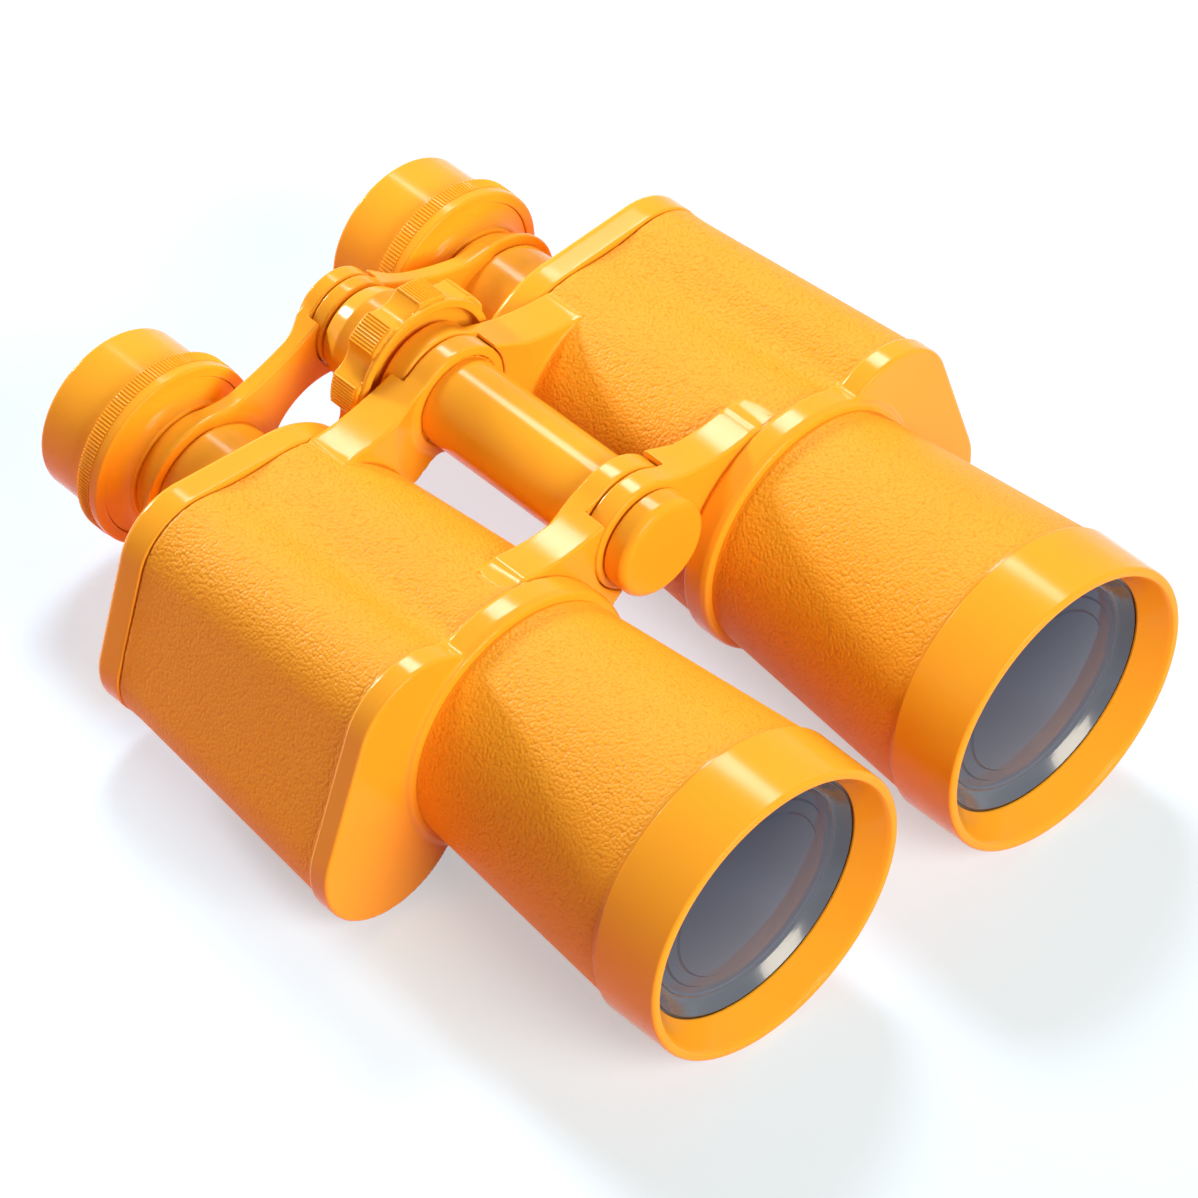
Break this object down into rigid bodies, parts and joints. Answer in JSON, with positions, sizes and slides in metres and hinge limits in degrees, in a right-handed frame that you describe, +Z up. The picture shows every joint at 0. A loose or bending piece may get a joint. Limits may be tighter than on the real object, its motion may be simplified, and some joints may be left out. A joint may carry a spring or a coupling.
{
  "type": "toy binoculars",
  "caption": "Toy binoculars with tapered barrels, grained side housings, a folding centre hinge, a lobed focus wheel and a bridge that slides both eyepieces.",
  "frame": {"origin": "bottom centre of the box round the whole object, below the hinge, where the objective rings rest", "axes": "+Z up, -Y the way the objectives face, +Y toward the eyepieces, +X toward the user's left half"},
  "size_m": [0.1316, 0.1438, 0.0511],
  "materials": {
    "grained_abs": "moulded leather grain, satin",
    "smooth_abs": "smooth, satin gloss",
    "lens_glass": "clear acrylic lens",
    "black_plastic": "matt black",
    "axle_steel": "drawn steel rod"
  },
  "bodies": {
    "right_half": {"right_body": "grained_abs", "right_rear_cover": "smooth_abs", "right_barrel": "grained_abs", "right_objective_ring": "smooth_abs", "right_objective_lens": "lens_glass", "right_baffle": "black_plastic", "hinge_tube": "smooth_abs", "hinge_axle": "axle_steel", "front_cap": "smooth_abs"},
    "left_half": {"left_body": "grained_abs", "left_rear_cover": "smooth_abs", "left_barrel": "grained_abs", "left_objective_ring": "smooth_abs", "left_objective_lens": "lens_glass", "left_baffle": "black_plastic"},
    "focus_wheel": {"focus_wheel": "smooth_abs"},
    "right_eyepiece_set": {"right_eyepiece": "smooth_abs", "right_ocular_lens": "lens_glass", "right_bridge_arm": "smooth_abs", "focus_spindle": "smooth_abs", "bridge_cap": "smooth_abs"},
    "left_eyepiece_set": {"left_eyepiece": "smooth_abs", "left_ocular_lens": "lens_glass", "left_bridge_arm": "smooth_abs"},
    "right_eyecup": {"right_eyecup": "smooth_abs"},
    "left_eyecup": {"left_eyecup": "smooth_abs"}
  },
  "joints": [
    {"name": "fold_hinge", "type": "hinge", "parent": "right_half", "child": "left_half", "pos_m": [0, 0, 0.0379], "axis": [0, 1, 0], "range_deg": [-30, 24]},
    {"name": "focus_turn", "type": "hinge", "parent": "right_half", "child": "focus_wheel", "pos_m": [0, 0, 0.0379], "axis": [0, 1, 0], "range_deg": [0, 270]},
    {"name": "right_focus_slide", "type": "slide", "parent": "right_half", "child": "right_eyepiece_set", "axis": [0, 1, 0], "range_m": [0, 0.006]},
    {"name": "left_focus_slide", "type": "slide", "parent": "left_half", "child": "left_eyepiece_set", "axis": [0, 1, 0], "range_m": [0, 0.006]},
    {"name": "right_eyecup_turn", "type": "hinge", "parent": "right_eyepiece_set", "child": "right_eyecup", "pos_m": [-0.0292, 0, 0.024], "axis": [0, 1, 0], "range_deg": [-90, 90]},
    {"name": "left_eyecup_turn", "type": "hinge", "parent": "left_eyepiece_set", "child": "left_eyecup", "pos_m": [0.0292, 0, 0.024], "axis": [0, 1, 0], "range_deg": [-90, 90]}
  ],
  "couplings": [
    {"joint": "focus_turn", "follows": "right_focus_slide", "rad_per_m": 785.39},
    {"joint": "left_focus_slide", "follows": "right_focus_slide", "ratio": 1}
  ]
}
